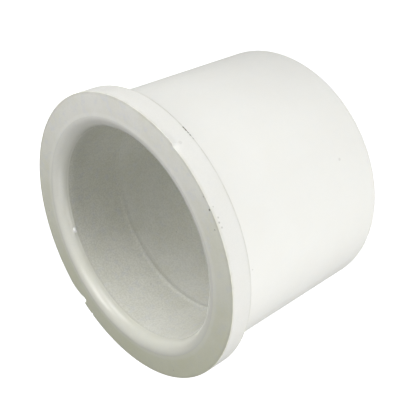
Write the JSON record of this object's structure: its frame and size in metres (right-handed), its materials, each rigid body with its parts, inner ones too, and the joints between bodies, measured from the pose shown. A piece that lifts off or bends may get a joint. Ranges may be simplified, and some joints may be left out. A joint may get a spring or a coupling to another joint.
{
  "type": "pipe cap",
  "caption": "White plastic solvent-weld pipe cap: a short closed tube with a low round collar at its mouth and a deep rounded lead-in to a smooth pipe socket.",
  "frame": {"origin": "centre of the closed end's outer face, at the bottom of the part's box", "axes": "+Z along the socket's axis, from the closed end out of the mouth; X and Y are free, because the cap is a body of revolution"},
  "size_m": [0.064, 0.064, 0.0475],
  "materials": {
    "white_pvc": "satin moulded"
  },
  "bodies": {
    "root": {"socket_bush": "white_pvc", "barrel": "white_pvc", "end_disc": "white_pvc"}
  },
  "joints": []
}
